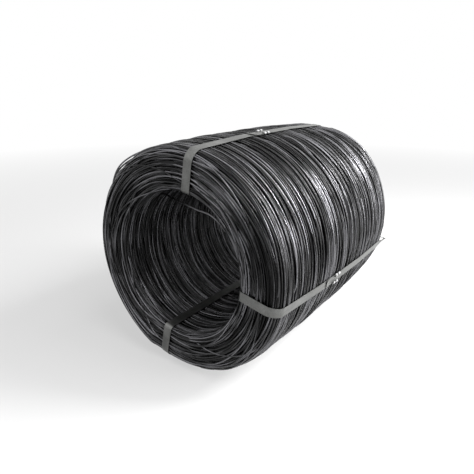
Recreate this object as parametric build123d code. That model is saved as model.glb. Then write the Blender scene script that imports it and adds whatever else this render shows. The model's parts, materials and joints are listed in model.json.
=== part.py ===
from build123d import *
from math import asin, cos, degrees, radians, sin, sqrt, tan
import os

# A coil of carbon steel wire that lies on its side, with three steel straps through its bore.
# Millimetres. The coil's axis is +X and the origin is on it, midway between the two ends.
# An angle round the axis starts at +Y and turns towards +Z.

# Coil
coil_diameter = 800.0
coil_length = 930.0
bore_diameter = 500.0
wall_straight_length = 330.0     # middle of the outer wall, which is a true cylinder
wall_taper_angle = 2.0           # by which the wall falls away towards each end
shoulder_radius = 44.0           # round outer edge of each end
mouth_radius = 15.0              # round edge of the bore
mouth_bands = 2                  # bands in which the turns show round the bore's edge
end_bands = 6                    # and from there over the end and its shoulder
groove_depth = 3.0               # of the grooves between the bands, which are twice as wide
seam_angle = 1.5                 # where the turned solid closes, round the axis

# Straps
strap_width = 32.0
strap_thickness = 0.8
strap_seat_gap = 0.1             # between a strap and the turns under it
top_angle = 98.5                 # where each strap lies round the axis, at the coil's middle
side_angle = -167.0
low_angle = -77.5
top_skew = -1.5                  # how far each one slants from the axis
side_skew = 2.4
low_skew = 0.0

# Sealless joint of a strap: the upper end lies over the lower one and tabs are bent up at the edges
top_joint_x = -47.0              # middle of each joint, along the axis
side_joint_x = -67.0
low_joint_x = 39.0
overlap_length = 110.0
upper_inset = 0.2                # between an edge of the upper end and the edge of the lower one
tail_length = 20.0               # short edge of the free end, which springs up
tail_cut_angle = 22.0            # slant of the cut across it
tail_lift_angle = 7.0
pressed_lift_angle = 0.0         # the same where the coil's weight keeps the tail down
tab_length = 11.0
tab_height = 5.0
tab_pitch = 23.0
tab_edge_inset = 6.0             # how deep the notch under each tab reaches into the strap

# Slack corner that the side strap makes beyond the rear shoulder
slack_reach = 28.0               # how far the corner stands out past the end face
slack_drop = 9.0                 # how far the corner lies inside the coil's radius
slack_root = 82.0                # how far below the corner the strap meets the end face
slack_bend_radius = 5.0

coil_radius = coil_diameter / 2
bore_radius = bore_diameter / 2
half_length = coil_length / 2
wall_half = wall_straight_length / 2

os.makedirs("parts", exist_ok=True)


def polar(centre, radius, angle):
    """Point at an angle in radians from a centre in the section plane."""
    return (centre[0] + radius * cos(angle), centre[1] + radius * sin(angle))


def section_marks(offset):
    """Joints, centres and radii in the right half of the coil's section, grown by an offset."""
    taper = radians(wall_taper_angle)
    shoulder_x = half_length - shoulder_radius
    fall = (shoulder_x - wall_half) * tan(taper)
    shoulder_centre = (shoulder_x, coil_radius - fall - shoulder_radius / cos(taper))
    mouth_centre = (half_length - mouth_radius, bore_radius + mouth_radius)
    wall_corner = (wall_half + offset * tan(taper / 2), coil_radius + offset)
    blend = radians(90) - taper
    return shoulder_centre, shoulder_radius + offset, blend, mouth_centre, mouth_radius + offset, wall_corner


def mouth_arc(offset):
    """Round edge of the bore, from the bore's wall to the end face."""
    _, _, _, centre, radius, _ = section_marks(offset)
    return ThreePointArc(*(polar(centre, radius, radians(angle)) for angle in (-90, -45, 0)))


def smooth_end(offset):
    """Bore mouth, end face and shoulder as tangent arcs and a flat."""
    centre, radius, blend, _, _, _ = section_marks(offset)
    mouth = mouth_arc(offset)
    shoulder = ThreePointArc(*(polar(centre, radius, share * blend) for share in (0, 0.5, 1)))
    return [mouth, Line(mouth @ 1, shoulder @ 0), shoulder]


def slack_end(offset):
    """The same end in a slack strap, which leaves the wall straight and bends back to the face."""
    centre, radius, blend, _, _, _ = section_marks(offset)
    mouth = mouth_arc(offset)
    tip = (half_length + slack_reach + offset, coil_radius - slack_drop + offset)
    root = (half_length + offset, tip[1] - slack_root)
    corner = FilletPolyline(root, tip, polar(centre, radius, blend), radius=slack_bend_radius + offset)
    return [mouth, Line(mouth @ 1, root), corner]


def banded_end():
    """The same end as a row of bands of turns, with a groove between each two."""
    centre, _, blend, mouth_centre, _, _ = section_marks(0)
    face_length = centre[1] - mouth_centre[1]
    pitch = (face_length + shoulder_radius * blend) / end_bands

    def place(distance, depth):
        if distance <= face_length:
            return (half_length - depth, mouth_centre[1] + distance)
        return polar(centre, shoulder_radius - depth, (distance - face_length) / shoulder_radius)

    turns = range(mouth_bands + 1)
    points = [polar(mouth_centre, mouth_radius, radians(90 * (turn / mouth_bands - 1))) for turn in turns]
    for groove in range(1, end_bands):
        points.append(place(groove * pitch - groove_depth, 0))
        points.append(place(groove * pitch, groove_depth))
        points.append(place(groove * pitch + groove_depth, 0))
    points.append(polar(centre, shoulder_radius, blend))
    return [Line(start, end) for start, end in zip(points, points[1:])]


def half_section(offset, end_lines):
    """Half of the coil's section on one side of the axis, from mid-length to the end."""
    wall_corner = section_marks(offset)[-1]
    return [
        Line((0, bore_radius - offset), end_lines[0] @ 0),
        *end_lines,
        Line(end_lines[-1] @ 1, wall_corner),
        Line(wall_corner, (0, wall_corner[1])),
    ]


def full_section(offset, left_end, right_end):
    """Closed section of the coil's wall on one side of the axis."""
    left = [mirror(line, about=Plane.YZ) for line in half_section(offset, left_end)]
    return make_face([*half_section(offset, right_end), *left])


def strap_band(skew, slack):
    """Flat band that follows the coil's section all the way round, cut to the strap's width."""
    outside = strap_seat_gap + strap_thickness
    reach = half_length * abs(sin(radians(skew))) + strap_width
    sweep = degrees(asin(reach / (bore_radius - outside)))
    inner, outer = (
        Rot(X=-sweep)
        * revolve(
            full_section(gap, smooth_end(gap), slack_end(gap) if slack else smooth_end(gap)),
            Axis.X,
            2 * sweep,
        )
        for gap in (strap_seat_gap, outside)
    )
    slab = Pos(Y=coil_radius) * Box(2 * coil_length, 2 * coil_radius, strap_width)
    return (outer & (Rot(Y=-skew) * slab)) - inner


def strap_joint(joint_x, lift_angle):
    """Upper end of a strap, with its tail towards the front and the tabs bent up along both edges."""
    width = strap_width - 2 * upper_inset
    edge_height = sqrt((coil_radius + strap_seat_gap + strap_thickness) ** 2 - (strap_width / 2) ** 2)
    base = edge_height - strap_thickness / 4
    long_edge = tail_length + width * tan(radians(tail_cut_angle))
    tail_outline = Polyline(
        (0, -width / 2),
        (-long_edge, -width / 2),
        (-tail_length, width / 2),
        (0, width / 2),
        (0, -width / 2),
    )
    tail = extrude(Plane.XZ * make_face(tail_outline), -strap_thickness)
    tail = Pos(-overlap_length / 2, base, 0) * Rot(Z=-lift_angle) * tail
    middle = base + strap_thickness / 2
    joint = Pos(Y=middle) * Box(overlap_length, strap_thickness, width) + tail
    notch = Box(tab_length, 4 * strap_thickness, 2 * tab_edge_inset)
    tab = Box(tab_length, tab_height, strap_thickness)
    for step in (-tab_pitch / 2, tab_pitch / 2):
        for side in (-1, 1):
            joint -= Pos(step, middle, side * width / 2) * notch
            joint += Pos(step, base + tab_height / 2, side * (width / 2 - tab_edge_inset)) * tab
    return Pos(X=joint_x) * joint


def strap(angle, skew, joint_x, lift_angle, slack=False):
    """One strap: the band, and its joint on the outside of the coil."""
    joint = Rot(Y=-skew) * strap_joint(joint_x, lift_angle)
    return Rot(X=angle) * (strap_band(skew, slack) + joint)


pieces = {
    "wire_coil": Rot(X=seam_angle) * revolve(full_section(0, banded_end(), banded_end()), Axis.X),
    "strap_top": strap(top_angle, top_skew, top_joint_x, tail_lift_angle),
    "strap_side": strap(side_angle, side_skew, side_joint_x, tail_lift_angle, slack=True),
    "strap_low": strap(low_angle, low_skew, low_joint_x, pressed_lift_angle),
}
for name, piece in pieces.items():
    export_step(piece, f"parts/{name}.step")
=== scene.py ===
import json
from math import cos, pi, radians, sin, tan

import bmesh
import bpy
import numpy as np
from mathutils import Matrix, Vector


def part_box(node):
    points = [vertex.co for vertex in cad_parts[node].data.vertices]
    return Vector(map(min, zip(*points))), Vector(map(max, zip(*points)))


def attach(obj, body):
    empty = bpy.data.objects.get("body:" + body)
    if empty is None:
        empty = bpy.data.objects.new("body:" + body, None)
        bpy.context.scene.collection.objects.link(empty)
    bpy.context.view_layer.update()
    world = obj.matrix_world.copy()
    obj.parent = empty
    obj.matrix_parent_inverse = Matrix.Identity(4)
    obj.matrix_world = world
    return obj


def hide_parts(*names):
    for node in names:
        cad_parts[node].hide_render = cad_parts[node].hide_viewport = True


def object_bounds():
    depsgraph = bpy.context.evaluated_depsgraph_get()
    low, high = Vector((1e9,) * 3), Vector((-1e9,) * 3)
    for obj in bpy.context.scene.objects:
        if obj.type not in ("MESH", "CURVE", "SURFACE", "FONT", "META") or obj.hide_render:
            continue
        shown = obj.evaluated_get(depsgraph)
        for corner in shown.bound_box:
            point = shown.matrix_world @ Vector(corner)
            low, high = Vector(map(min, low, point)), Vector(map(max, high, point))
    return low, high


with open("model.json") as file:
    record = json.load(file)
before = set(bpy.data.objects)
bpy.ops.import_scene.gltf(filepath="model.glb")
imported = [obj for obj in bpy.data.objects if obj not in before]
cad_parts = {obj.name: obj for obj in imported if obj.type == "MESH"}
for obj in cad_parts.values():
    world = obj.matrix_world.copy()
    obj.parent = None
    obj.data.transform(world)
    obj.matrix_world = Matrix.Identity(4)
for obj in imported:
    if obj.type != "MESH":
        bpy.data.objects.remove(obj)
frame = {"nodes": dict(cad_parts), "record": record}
cad_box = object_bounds()

# A coil of carbon steel wire that lies on its side, with three steel straps through its bore.
# Metres. The coil's axis is +X, and an angle round it starts at +Y and turns towards +Z.
# The coil's front end is the one at -X.

# Outline of the winding, from the frame and from the section that the coil is turned to
coil_low, coil_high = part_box("wire_coil")
half_length = coil_high.x
coil_radius = -coil_low.z
bore_radius = frame["record"]["mounts"][0]["dims"]["r_mm"] / 1000
wall_half = 0.165                # half the length of the wall's middle, which is a true cylinder
wall_taper = radians(2.0)        # by which the wall falls away from there
shoulder_radius = 0.044
mouth_radius = 0.015

# Points in each half of the outline
bore_points = 60
mouth_points = 14
face_points = 12
shoulder_points = 40
taper_points = 20

# Straps: where each lies round the axis, and its slant
strap_places = {
    "strap_top": (radians(98.5), radians(-1.5)),
    "strap_side": (radians(-167.0), radians(2.4)),
    "strap_low": (radians(-77.5), radians(0.0)),
}
floor_angle = radians(-90)       # where the coil rests

# Sealless joints: middle along the strap, and the tabs that are bent up and curl outwards at the top
joint_places = {"strap_top": -0.047, "strap_side": -0.067}
strap_half_width = 0.016
tab_length = 0.011
tab_pitch = 0.023
tab_inset = 0.0062
tab_root = 0.4035                # radius at which the curl starts
curl_reach = 0.0056
curl_height = 0.0036
curl_half_thickness = 0.0005
curl_turns = (pi, -pi / 5)       # from the tab over its top to the curl's free edge
curl_points = 12

# Slack corner of the side strap, along the axis and out: where it leaves the coil, its tip and where it
# meets the end face
slack_start = (0.4225, 0.391)
slack_tip = (0.4916, 0.391)
slack_root = (0.465, 0.309)
slack_corner_depth = 0.008       # how far the corner's own bend reaches in from the tip
slack_width = Vector((0.78, 0.54, -0.31))    # direction of the strap's width at the tip
slack_stretch = 0.024            # how much further the tip stands out once it is twisted

# Where the winding stands out of its turned outline: between the straps everywhere, and in two swells.
# Each range runs from where a rise starts to where it is full.
bulge = 0.003
bulge_range = (radians(6), radians(40))      # round the axis from a strap
strap_bed_range = (radians(3), radians(12))  # the same for what the straps press down
bore_edge_range = (0.02, 0.09)               # out from the bore
swells = (
    # place and reach along the axis, angle and reach round it, height
    (-0.44, 0.20, radians(-66), radians(18), 0.007),
    (0.46, 0.14, radians(128), radians(24), 0.014),
)

# Wire
wire_radius = 0.00275
turn_pitch = 0.0057              # of turns that lie side by side
wire_apart = 37.0                # added to the length along each next wire, so that its steel differs

# How wound turns stray: shares of a turn from one random knot to the next
stray_knots = 0.11
quiver_knots = 0.04
quiver_share = 0.2               # of the stray
sink_knots = 0.09

# Slanting waves that draw the turns together in bunches
bunch_waves = 18
bunch_lengths = (0.014, 0.07)
bunch_waves_round = 3

# Layers of turns from the inside out. Buried is 1 for the deepest turns and 0 for those in the open.
# Depth is below the outline, and spacing is in pitches where the turns lie most freely. Stray, bunch and
# sink are how far turns wander one by one, draw together and lie below the rest of their layer.
# Buried also sets how much painted shade darkens a layer's steel.
layers = {
    "under": dict(buried=1.0, depth=0.0110, spacing=1.05, stray=0.0025, bunch=0.0030, sink=0.0012, sides=4),
    "middle": dict(buried=0.9, depth=0.0056, spacing=1.30, stray=0.0040, bunch=0.0020, sink=0.0018, sides=5),
    "over": dict(buried=0.0, depth=0.0, spacing=1.80, stray=0.0044, bunch=0.0022, sink=0.0020, sides=5),
}
layer_seeds = 100
bore_overlap = 0.02              # how far the turns of each end go on into the bore
wall_overlap = 0.03              # and along the wall
core_depth = 0.0170              # of the closed surface under the layers
core_points_round = 96
core_step = 0.010

# Wires that lie slanting over the others
crossing_seed = 31
crossing_margin = 0.021          # from the edges of their stretch
crossing_sweep = (50, 200)       # degrees round the axis
crossing_step = radians(2.5)
crossing_knots = 12              # points from one random knot to the next
crossing_stray = 0.004
crossing_rise = 0.0012           # above the outline
crossing_dip = 0.008             # how deep they go under at their ends and beside the straps
crossing_end_points = 6          # over which each end goes under
crossing_gap_range = (radians(4), radians(11))    # round the axis from a strap, where they come up
crossing_sides = 6

# Stations of each loose wire: place along the axis and radius, as shares of the coil's radius, and degrees
loose_stations = (
    ((-1.00, 0.970, 16), (-1.04, 0.992, 27), (-1.07, 1.010, 38), (-1.08, 1.014, 47), (-1.06, 0.998, 57),
     (-1.03, 0.972, 68), (-1.00, 0.950, 78)),
    ((-1.05, 0.960, 26), (-1.08, 0.980, 36), (-1.10, 0.986, 46), (-1.08, 0.970, 57), (-1.05, 0.946, 68)),
    ((-0.90, 0.620, 42), (-0.95, 0.612, 57), (-1.00, 0.531, 73), (-1.055, 0.501, 92.5), (-1.11, 0.531, 112),
     (-1.155, 0.612, 128), (-1.14, 0.622, 142)),
)
loose_points = 16                # for each station
loose_sides = 8

# Steel
# Painted shade: the deepest turns' steel is darkened to stand in for the shade between the turns
painted_shade_share = 0.86                # of their brightness that the deepest turns lose
relief_depth = 0.0004

# Photograph: camera fitted to the coil's ends, straps and sides
camera_azimuth = radians(-56.80)
camera_elevation = radians(18.11)
camera_distance = 4.627 * coil_radius
aim_right = -0.038               # aim beside the origin, as shares of the distance
aim_up = -0.017
focal_pixels = 453.08
frame_pixels = 474
sensor_width = 36.0

# Background and floor: what is seen and mirrored of them is brighter than the light that they give
background_light = 0.20
floor_size = 60
floor_light = 0.2
floor_tone = 0.45
fade_range = (1.0, 6.0)          # distance over which the floor turns white
fade_start = 0.55

# Lights that face the coil: direction, distance, width, height and radiance
lights = {
    "key": ((0.28, -0.6, 0.56), 3.4, 0.8, 1.4, 100.0),
    "soft": ((-0.1, -0.55, 0.8), 4.2, 3.2, 3.2, 6.5),
    "fill": ((0.3, -1.0, 0.26), 4.0, 2.4, 1.4, 20.0),
    "front": ((-0.8, 0.3, 0.7), 4.2, 3.0, 3.0, 1.0),
}


def length_along(points):
    """Distance along a row of points up to each of them."""
    steps = np.linalg.norm(np.diff(points, axis=0), axis=1)
    return np.concatenate([[0], np.cumsum(steps)])


def wire_outline():
    """Closed outline of the winding in the section plane, with its outward normals, by distance along it.

    It starts in the middle of the bore, goes out over the front end, back along the wall and in over
    the rear end.
    """
    shoulder_x = half_length - shoulder_radius
    fall = (shoulder_x - wall_half) * tan(wall_taper)
    shoulder_r = coil_radius - fall - shoulder_radius / cos(wall_taper)
    taper_x = shoulder_x + shoulder_radius * sin(wall_taper)
    mouth_x = half_length - mouth_radius
    mouth_r = bore_radius + mouth_radius
    half = [(x, bore_radius) for x in np.linspace(0, mouth_x, bore_points)[:-1]]
    for angle in np.linspace(-pi / 2, 0, mouth_points):
        half.append((mouth_x + mouth_radius * cos(angle), mouth_r + mouth_radius * sin(angle)))
    for r in np.linspace(mouth_r, shoulder_r, face_points)[1:-1]:
        half.append((half_length, r))
    for angle in np.linspace(0, pi / 2 - wall_taper, shoulder_points):
        half.append((shoulder_x + shoulder_radius * cos(angle), shoulder_r + shoulder_radius * sin(angle)))
    for x in np.linspace(taper_x, wall_half, taper_points)[1:]:
        half.append((x, coil_radius - (x - wall_half) * tan(wall_taper)))
    half.append((wall_half / 2, coil_radius))
    half = np.array(half)
    points = np.vstack([half * (-1, 1), [(0, coil_radius)], half[::-1]])
    distance = length_along(points)
    slope_x = np.gradient(points[:, 0], distance)
    slope_r = np.gradient(points[:, 1], distance)
    size = np.hypot(slope_x, slope_r)
    return distance, points, np.column_stack([-slope_r, slope_x]) / size[:, None]


outline_distance, outline_points, outline_normals = wire_outline()
outline_length = outline_distance[-1]

# Where the end faces and the wall start and end along the outline
face_start = half_length - mouth_radius
wall_start = outline_length / 2 - (half_length - shoulder_radius)
wall_end = outline_length / 2 + (half_length - shoulder_radius)
face_end = outline_length - face_start

# Stretches that are wound each by itself: points in a turn, and how freely the turns lie, from 0 to 1
stretches = {
    "front": dict(start=face_start - bore_overlap, end=wall_start + wall_overlap, points=96, freedom=0.5),
    "wall": dict(start=wall_start, end=wall_end, points=96, freedom=1.0),
    "rear": dict(start=wall_end - wall_overlap, end=face_end + bore_overlap, points=96, freedom=0.5),
    "bore": dict(start=face_end, end=outline_length + face_start, points=72, freedom=0.3),
}

# Slanting wires: where their stretch starts and ends, how many, and how far they slant across it
crossing_places = (
    (wall_start, wall_end, 46, 0.030),
    (face_start, wall_start, 34, 0.040),
    (wall_end, face_end, 34, 0.040),
)


def section_at(distance):
    """Point and outward normal of the outline in the section plane."""
    wrapped = np.mod(distance, outline_length)
    x, r = (np.interp(wrapped, outline_distance, column) for column in outline_points.T)
    normal_x, normal_r = (np.interp(wrapped, outline_distance, column) for column in outline_normals.T)
    size = np.hypot(normal_x, normal_r)
    return x, r, normal_x / size, normal_r / size


def turned(along, out, angle):
    """Vectors that have a part along the axis and a part straight out from it."""
    return np.column_stack([along, out * np.cos(angle), out * np.sin(angle)])


def smooth_step(value, low, high):
    """0 below the low value, 1 above the high one, and smooth between."""
    share = np.clip((value - low) / (high - low), 0, 1)
    return share * share * (3 - 2 * share)


def angle_between(angle, place):
    """Angle round the axis between two directions, the shorter way."""
    return np.abs(np.mod(angle - place + pi, 2 * pi) - pi)


def free_of_straps(x, angle, near, far):
    """0 within the near angle of the straps and of where the coil rests, and 1 beyond the far one."""
    straps = [place + x * tan(skew) / coil_radius for place, skew in strap_places.values()]
    free = np.ones_like(angle)
    for place in (*straps, floor_angle):
        free *= smooth_step(angle_between(angle, place), near, far)
    return free


def swell_at(x, r, angle):
    """How far the winding stands out of its turned outline."""
    total = bulge * free_of_straps(x, angle, *bulge_range)
    for middle, reach, turn, turn_reach, height in swells:
        away = angle_between(angle, turn)
        total += height * np.exp(-((x - middle) / reach) ** 2 - (away / turn_reach) ** 2)
    total *= smooth_step(r - bore_radius, *bore_edge_range)
    return total * free_of_straps(x, angle, *strap_bed_range)


def smooth_through(knots, at):
    """Smooth curve through a row of knots, at places counted in knots from the second one."""
    first = np.minimum(at.astype(int), len(knots) - 4)
    share = at - first
    weights = (
        -0.5 * share + share**2 - 0.5 * share**3,
        1 - 2.5 * share**2 + 1.5 * share**3,
        0.5 * share + 2 * share**2 - 1.5 * share**3,
        -0.5 * share**2 + 0.5 * share**3,
    )
    return sum(weight * knots[first + step] for step, weight in enumerate(weights))


def wander(rng, count, knot_every, spread):
    """Smooth random numbers along a wire, with a random knot every so many points."""
    knots = rng.normal(0, spread, int(count / knot_every) + 4)
    return smooth_through(knots, np.arange(count) / knot_every)


def bunch_field(rng, distance, angle, size):
    """Smooth random field over the winding that closes round the axis, as a sum of slanting waves."""
    field = np.zeros_like(distance)
    for _ in range(bunch_waves):
        length = rng.uniform(*bunch_lengths)
        waves_round = rng.integers(-bunch_waves_round, bunch_waves_round + 1)
        phase = rng.uniform(0, 2 * pi)
        field += np.sin(2 * pi * distance / length + waves_round * angle + phase)
    return field * size * (2 / bunch_waves) ** 0.5


def add_object(name, data):
    """New object in the scene."""
    made = bpy.data.objects.new(name, data)
    bpy.context.scene.collection.objects.link(made)
    return made


def tube_parts(points, normal, across, first, sides):
    """Corners, side faces and end faces of a closed tube, whose corners are counted from a first one."""
    side = np.arange(sides)
    after = (side + 1) % sides
    turn = 2 * pi * (side + 0.5) / sides
    ring = normal[:, None] * np.cos(turn)[:, None] + across[:, None] * np.sin(turn)[:, None]
    corners = (points[:, None] + wire_radius * ring).reshape(-1, 3)
    start = first + sides * np.arange(len(points) - 1)[:, None]
    around = np.stack([start + side, start + after, start + sides + after, start + sides + side], -1)
    ends = [first + side[::-1], first + len(corners) - sides + side]
    return corners, around.reshape(-1, 4), ends


def tubes_mesh(name, tubes, sides, buried=0.0):
    """One mesh of closed tubes, each given by its points and two vectors of its section.

    The buried value is 0 for turns in the open and 1 for the deepest ones, which get the most painted shade.
    """
    corners, quads, ends, along = [], [], [], []
    first = 0
    for number, (points, normal, across) in enumerate(tubes):
        tube_corners, tube_quads, tube_ends = tube_parts(points, normal, across, first, sides)
        corners.append(tube_corners)
        quads.append(tube_quads)
        ends += tube_ends
        along.append(np.repeat(length_along(points) + number * wire_apart, sides))
        first += len(tube_corners)
    corners = np.concatenate(corners)
    quads = np.concatenate(quads)
    loops = np.concatenate([quads.ravel(), *ends]).astype(np.int32)
    starts = np.concatenate([4 * np.arange(len(quads)), 4 * len(quads) + sides * np.arange(len(ends))])
    mesh = bpy.data.meshes.new(name)
    mesh.vertices.add(len(corners))
    mesh.vertices.foreach_set("co", corners.ravel())
    mesh.loops.add(len(loops))
    mesh.loops.foreach_set("vertex_index", loops)
    mesh.polygons.add(len(starts))
    mesh.polygons.foreach_set("loop_start", starts.astype(np.int32))
    mesh.update(calc_edges=True)
    corner_values = {"wire_length": np.concatenate(along), "buried": np.full(len(corners), buried)}
    for label, values in corner_values.items():
        mesh.attributes.new(label, "FLOAT", "POINT").data.foreach_set("value", values)
    mesh.shade_smooth()
    return add_object(name, mesh)


def wound_wire(seed, stretch, layer):
    """One continuous wire wound round the axis, over a stretch of the outline.

    Its turns wander along the outline one by one, draw together and apart in bunches, and sink in here
    and there.
    """
    rng = np.random.default_rng(seed)
    start, end, points_round = stretch["start"], stretch["end"], stretch["points"]
    pitch = turn_pitch * (1 + stretch["freedom"] * (layer["spacing"] - 1))
    count = int((end - start) / pitch * points_round)
    turn = np.arange(count) / points_round
    angle = 2 * pi * turn
    base = start + turn * pitch
    shift = wander(rng, count, points_round * stray_knots, layer["stray"])
    shift += wander(rng, count, points_round * quiver_knots, layer["stray"] * quiver_share)
    shift += bunch_field(rng, base, angle, layer["bunch"])
    x, r, normal_x, normal_r = section_at(np.clip(base + shift, start, end))
    sunk = np.abs(wander(rng, count, points_round * sink_knots, layer["sink"]))
    height = swell_at(x, r, angle) - wire_radius - layer["depth"] - sunk
    points = turned(x + normal_x * height, r + normal_r * height, angle)
    return points, turned(normal_x, normal_r, angle), turned(normal_r, -normal_x, angle)


def make_layers():
    """The coil's turns: three layers over each stretch of the outline."""
    made = []
    for number, (place, stretch) in enumerate(stretches.items()):
        for depth, (label, layer) in enumerate(layers.items()):
            wire = wound_wire(layer_seeds * depth + number, stretch, layer)
            buried = stretch["freedom"] * layer["buried"]
            made.append(tubes_mesh(f"turns_{place}_{label}", [wire], layer["sides"], buried))
    return made


def section_vectors(points):
    """Two unit vectors of the section at each point of a free wire."""
    along = np.gradient(points, axis=0)
    along /= np.linalg.norm(along, axis=1)[:, None]
    across = np.cross(along, points * (0, 1, 1))
    across /= np.linalg.norm(across, axis=1)[:, None]
    return np.cross(across, along), across


def crossing_wire(rng, low, high, spread):
    """A wire that lies slanting over a stretch of the winding and goes under at its ends."""
    middle = rng.uniform(low + crossing_margin, high - crossing_margin)
    turn = rng.uniform(0, 2 * pi)
    sweep = radians(rng.uniform(*crossing_sweep))
    count = int(sweep / crossing_step)
    angle = np.linspace(turn, turn + sweep, count)
    shift = rng.normal(0, spread) * np.linspace(-1, 1, count)
    shift += wander(rng, count, crossing_knots, crossing_stray)
    x, r, normal_x, normal_r = section_at(np.clip(middle + shift, low, high))
    point = np.arange(count)
    shown = smooth_step(point, 0, crossing_end_points) * smooth_step(point[::-1], 0, crossing_end_points)
    shown *= free_of_straps(x, angle, *crossing_gap_range)
    height = swell_at(x, r, angle) - wire_radius + crossing_rise - crossing_dip * (1 - shown)
    points = turned(x + normal_x * height, r + normal_r * height, angle)
    return points, *section_vectors(points)


def crossing_wires():
    """Wires that lie slanting over the other turns of the wall and the ends."""
    rng = np.random.default_rng(crossing_seed)
    tubes = []
    for low, high, count, spread in crossing_places:
        tubes += [crossing_wire(rng, low, high, spread) for _ in range(count)]
    return tubes_mesh("turns_crossing", tubes, crossing_sides)


def loose_wires():
    """Turns that stand clear of the coil: over the front shoulder, and across the mouth of the bore."""
    tubes = []
    for stations in loose_stations:
        stations = np.array(stations)
        knots = np.vstack([2 * stations[0] - stations[1], stations, 2 * stations[-1] - stations[-2]])
        at = np.linspace(0, len(stations) - 1, loose_points * len(stations))
        x, r, degrees = (smooth_through(column, at) for column in knots.T)
        points = turned(x * coil_radius, r * coil_radius, np.radians(degrees))
        tubes.append((points, *section_vectors(points)))
    return tubes_mesh("turns_loose", tubes, loose_sides)


def make_core():
    """What lies below the layers: the same outline, further in."""
    distance = np.arange(0, outline_length, core_step)
    x, r, normal_x, normal_r = section_at(distance)
    x -= core_depth * normal_x
    r -= core_depth * normal_r
    turns = 2 * pi * np.arange(core_points_round) / core_points_round
    corners = np.concatenate([turned(x, r, np.full_like(x, turn)) for turn in turns])
    here = np.arange(len(corners)).reshape(core_points_round, -1)
    there = np.roll(here, -1, axis=0)
    faces = np.stack([here, there, np.roll(there, -1, axis=1), np.roll(here, -1, axis=1)], axis=-1)
    mesh = bpy.data.meshes.new("turns_inside")
    mesh.from_pydata(corners.tolist(), [], faces.reshape(-1, 4).tolist())
    mesh.update()
    mesh.shade_smooth()
    return add_object("turns_inside", mesh)


def strap_frame(name):
    """Turn from a strap's own directions, along it, out from the coil and across it, to the scene's."""
    angle, skew = strap_places[name]
    return Matrix.Rotation(angle, 3, "X") @ Matrix.Rotation(-skew, 3, "Y")


def make_twisted_strap():
    """The side strap, whose slack corner is twisted, so that the strap stands on edge there."""
    mesh = frame["nodes"]["strap_side"].data.copy()
    across = strap_frame("strap_side").col[2]
    for vertex in mesh.vertices:
        x, r = vertex.co.x, np.hypot(vertex.co.y, vertex.co.z)
        if x < slack_start[0] or r < slack_root[1]:
            continue
        if r > slack_start[1] - slack_corner_depth:
            share = float(smooth_step(x, slack_start[0], slack_tip[0]))
        else:
            share = float(smooth_step(r, slack_root[1], slack_tip[1] - slack_corner_depth))
        vertex.co += share * vertex.co.dot(across) * (slack_width - across)
        vertex.co.x += share * slack_stretch
    return add_object("strap_side_twisted", mesh)


def curl_outline():
    """Closed outline of a curled tab, out from its root and up."""
    turns = np.linspace(*curl_turns, curl_points)
    arc = np.column_stack([np.cos(turns), np.sin(turns)])
    curl = np.array((curl_reach, curl_height))
    outside = (curl + curl_half_thickness) * arc
    inside = (curl - curl_half_thickness) * arc
    return np.vstack([outside, inside[::-1]]) + (curl_reach, 0)


def make_tabs():
    """Curled tops of the tabs at the two joints in the open."""
    outline = curl_outline()
    count = len(outline)
    corners, faces = [], []
    for name, joint_place in joint_places.items():
        turn = strap_frame(name)
        for step in (-tab_pitch / 2, tab_pitch / 2):
            for side in (-1, 1):
                near = np.arange(len(corners), len(corners) + count)
                after = np.roll(near, -1)
                faces += np.stack([near, after, count + after, count + near], axis=1).tolist()
                faces += [near[::-1].tolist(), (count + near).tolist()]
                for end in (-tab_length / 2, tab_length / 2):
                    for out, up in outline:
                        across = side * (strap_half_width - tab_inset + out)
                        corners.append(turn @ Vector((joint_place + step + end, tab_root + up, across)))
    mesh = bpy.data.meshes.new("strap_tabs")
    mesh.from_pydata(corners, [], faces)
    shaping = bmesh.new()
    shaping.from_mesh(mesh)
    bmesh.ops.recalc_face_normals(shaping, faces=shaping.faces)
    shaping.to_mesh(mesh)
    shaping.free()
    return add_object("strap_tabs", mesh)


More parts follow.
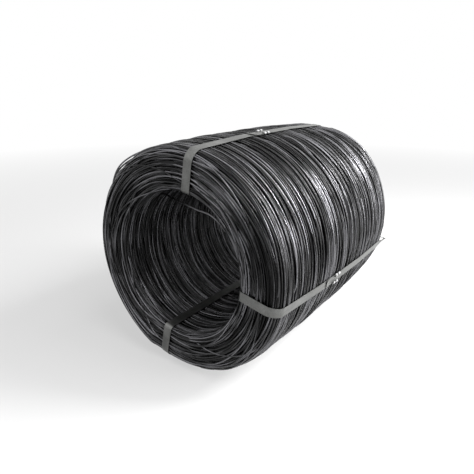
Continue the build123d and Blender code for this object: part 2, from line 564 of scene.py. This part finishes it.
class Nodes:
    """Short way to write the nodes of a material or of the background."""

    def __init__(self, owner):
        owner.use_nodes = True
        self.owner = owner
        self.tree = owner.node_tree

    def feed(self, socket, value):
        """Give an input a plain value or another node's output."""
        if isinstance(value, bpy.types.NodeSocket):
            self.tree.links.new(value, socket)
        else:
            socket.default_value = value

    def add(self, kind, inputs=None, **settings):
        """New node, with its settings and its inputs."""
        node = self.tree.nodes.new(kind)
        for key, value in settings.items():
            setattr(node, key, value)
        for key, value in (inputs or {}).items():
            self.feed(node.inputs[key], value)
        return node

    def attribute(self, name):
        """Value that a mesh holds at its corners."""
        return self.add("ShaderNodeAttribute", attribute_name=name).outputs["Fac"]

    def place(self):
        """Place on the object."""
        return self.add("ShaderNodeTexCoord").outputs["Object"]

    def seen(self):
        """1 for rays from the camera and for what the steel reflects, and 0 for other light."""
        path = self.add("ShaderNodeLightPath")
        return self.math("MAXIMUM", path.outputs["Is Camera Ray"], path.outputs["Is Glossy Ray"])

    def math(self, operation, *values):
        """Result of one step of arithmetic."""
        return self.add("ShaderNodeMath", dict(enumerate(values)), operation=operation).outputs[0]

    def noise(self, place, scale, detail):
        """Random clouds through space."""
        inputs = {"Vector": place, "Scale": scale, "Detail": detail}
        return self.add("ShaderNodeTexNoise", inputs).outputs["Fac"]

    def noise_along(self, length, scale, detail, roughness=0.5):
        """Random stretches along a wire."""
        inputs = {"W": length, "Scale": scale, "Detail": detail, "Roughness": roughness}
        return self.add("ShaderNodeTexNoise", inputs, noise_dimensions="1D").outputs["Fac"]

    def rescale(self, value, old_range, new_range):
        """Value moved from one range to another."""
        ends = zip(("From Min", "From Max", "To Min", "To Max"), (*old_range, *new_range))
        return self.add("ShaderNodeMapRange", {"Value": value, **dict(ends)}).outputs[0]

    def ramp(self, value, stops):
        """Colour that changes with a value."""
        node = self.add("ShaderNodeValToRGB", {"Fac": value})
        while len(node.color_ramp.elements) < len(stops):
            node.color_ramp.elements.new(0.5)
        for element, (position, colour) in zip(node.color_ramp.elements, stops):
            element.position = position
            element.color = (*colour, 1)
        return node.outputs["Color"]

    def bump(self, height, strength):
        """Direction of the surface over a fine relief."""
        inputs = {"Height": height, "Strength": strength, "Distance": relief_depth}
        return self.add("ShaderNodeBump", inputs).outputs["Normal"]

    def shade(self, **values):
        """Set inputs of the material's own shader."""
        shader = self.tree.nodes["Principled BSDF"]
        for key, value in values.items():
            self.feed(shader.inputs[key.replace("_", " ")], value)


def wire_steel():
    """Dark drawn steel whose tone and shine change along the wire, with cloudy oxide and a fine grain."""
    nodes = Nodes(bpy.data.materials.new("wire_steel"))
    length = nodes.attribute("wire_length")
    place = nodes.place()
    drift = nodes.noise_along(length, scale=1.1, detail=2.0)
    oxide = nodes.noise_along(length, scale=2.2, detail=5.0, roughness=0.65)
    cloud = nodes.noise(place, scale=9.0, detail=4.0)
    tone = nodes.math("MULTIPLY", drift, 0.5)
    tone = nodes.math("MULTIPLY_ADD", oxide, 0.35, tone)
    tone = nodes.math("MULTIPLY_ADD", cloud, 0.15, tone)
    dark = (0.013, 0.013, 0.0133)
    common = (0.040, 0.040, 0.041)
    bright = (0.142, 0.141, 0.150)
    colour = nodes.ramp(tone, ((0.42, dark), (0.5, common), (0.58, bright)))
    # Painted shade: turns deeper in the winding are darkened, standing in for the shade in the gaps between
    # them
    unshaded_share = nodes.math("MULTIPLY_ADD", nodes.attribute("buried"), -painted_shade_share, 1.0)
    shaded_colour = nodes.add("ShaderNodeVectorMath", {0: colour, "Scale": unshaded_share}, operation="SCALE")
    shine = nodes.noise_along(length, scale=11.0, detail=3.0, roughness=0.62)
    rough = nodes.rescale(shine, (0.35, 0.65), (0.22, 0.46))
    normal = nodes.bump(nodes.noise(place, scale=260.0, detail=3.0), strength=0.12)
    nodes.shade(Base_Color=shaded_colour.outputs["Vector"], Roughness=rough, Metallic=0.95, Normal=normal)
    return nodes.owner


def tab_steel():
    """Freshly bent and cut edges of the strapping, which are brighter and smoother."""
    nodes = Nodes(bpy.data.materials.new("tab_steel"))
    patch = nodes.noise(nodes.place(), scale=180.0, detail=3.0)
    colour = nodes.ramp(patch, ((0.35, (0.26, 0.26, 0.26)), (0.65, (0.46, 0.46, 0.47))))
    nodes.shade(Base_Color=colour, Roughness=0.34, Metallic=0.6)
    return nodes.owner


def strap_steel():
    """Bare strapping: satin steel with fine lines along the axis and dull patches."""
    nodes = Nodes(bpy.data.materials.new("strap_steel"))
    place = nodes.place()
    drawn_out = nodes.add("ShaderNodeMapping", {"Vector": place, "Scale": (2.0, 60.0, 60.0)})
    lines = nodes.noise(drawn_out.outputs["Vector"], scale=8.0, detail=5.0)
    patch = nodes.noise(place, scale=22.0, detail=4.0)
    tone = nodes.math("MULTIPLY", nodes.math("ADD", lines, patch), 0.5)
    colour = nodes.ramp(tone, ((0.36, (0.088, 0.090, 0.086)), (0.64, (0.175, 0.176, 0.172))))
    rough = nodes.rescale(patch, (0.3, 0.7), (0.36, 0.5))
    normal = nodes.bump(lines, strength=0.2)
    nodes.shade(Base_Color=colour, Roughness=rough, Metallic=0.92, Normal=normal)
    return nodes.owner


def place_camera():
    """Camera at the photograph's place."""
    back = Vector((
        sin(camera_azimuth) * cos(camera_elevation),
        -cos(camera_azimuth) * cos(camera_elevation),
        sin(camera_elevation),
    ))
    right = (-back).cross(Vector((0, 0, 1))).normalized()
    up = right.cross(-back)
    forward = (-back + aim_right * right + aim_up * up).normalized()
    camera = add_object("camera", bpy.data.cameras.new("camera"))
    camera.data.sensor_width = sensor_width
    camera.data.lens = sensor_width * focal_pixels / frame_pixels
    camera.location = back * camera_distance
    camera.rotation_mode = "QUATERNION"
    camera.rotation_quaternion = forward.to_track_quat("-Z", "Y")
    bpy.context.scene.camera = camera


def make_background():
    """White background that lights the coil softly."""
    world = bpy.data.worlds.new("studio")
    bpy.context.scene.world = world
    nodes = Nodes(world)
    background = nodes.tree.nodes["Background"]
    nodes.feed(background.inputs["Color"], (1, 1, 1, 1))
    strength = nodes.rescale(nodes.seen(), (0, 1), (background_light, 1))
    nodes.feed(background.inputs["Strength"], strength)


def make_floor():
    """Pale floor that keeps the coil's shadow and turns white further out."""
    nodes = Nodes(bpy.data.materials.new("floor"))
    nodes.tree.nodes.clear()
    seen = nodes.seen()
    tone = nodes.rescale(seen, (0, 1), (floor_light, floor_tone))
    matt = nodes.add("ShaderNodeBsdfDiffuse", {"Color": tone})
    white = nodes.add("ShaderNodeEmission")
    away = nodes.add("ShaderNodeVectorMath", {0: nodes.place()}, operation="LENGTH").outputs["Value"]
    share = nodes.math("MULTIPLY", seen, nodes.rescale(away, fade_range, (fade_start, 1)))
    mix = nodes.add("ShaderNodeMixShader", {0: share, 1: matt.outputs[0], 2: white.outputs[0]})
    nodes.add("ShaderNodeOutputMaterial", {"Surface": mix.outputs[0]})
    bpy.ops.mesh.primitive_plane_add(size=floor_size, location=(0, 0, cad_box[0].z))
    floor = bpy.context.object
    floor.name = "floor"
    floor.data.materials.append(nodes.owner)


def make_lights():
    """Soft lights that face the coil, with their strength given as radiance."""
    for name, (direction, distance, width, height, radiance) in lights.items():
        light = add_object(name, bpy.data.lights.new(name, "AREA"))
        light.data.shape = "RECTANGLE"
        light.data.size = width
        light.data.size_y = height
        light.data.energy = radiance * pi * width * height
        light.location = Vector(direction).normalized() * distance
        light.rotation_mode = "QUATERNION"
        light.rotation_quaternion = Vector(direction).to_track_quat("Z", "Y")


place_camera()
make_background()
make_floor()
make_lights()
bpy.context.scene.view_settings.view_transform = "Standard"

wire_material = wire_steel()
strap_material = strap_steel()
for strap_name in strap_places:
    for slot in frame["nodes"][strap_name].material_slots:
        slot.material = strap_material

twisted = make_twisted_strap()
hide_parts("strap_side")
for piece, material in ((twisted, strap_material), (make_tabs(), tab_steel())):
    piece.data.materials.clear()
    piece.data.materials.append(material)
    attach(piece, "root")

core = make_core()
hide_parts("wire_coil")
for piece in [core, *make_layers(), crossing_wires(), loose_wires()]:
    piece.data.materials.append(wire_material)
    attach(piece, "root")
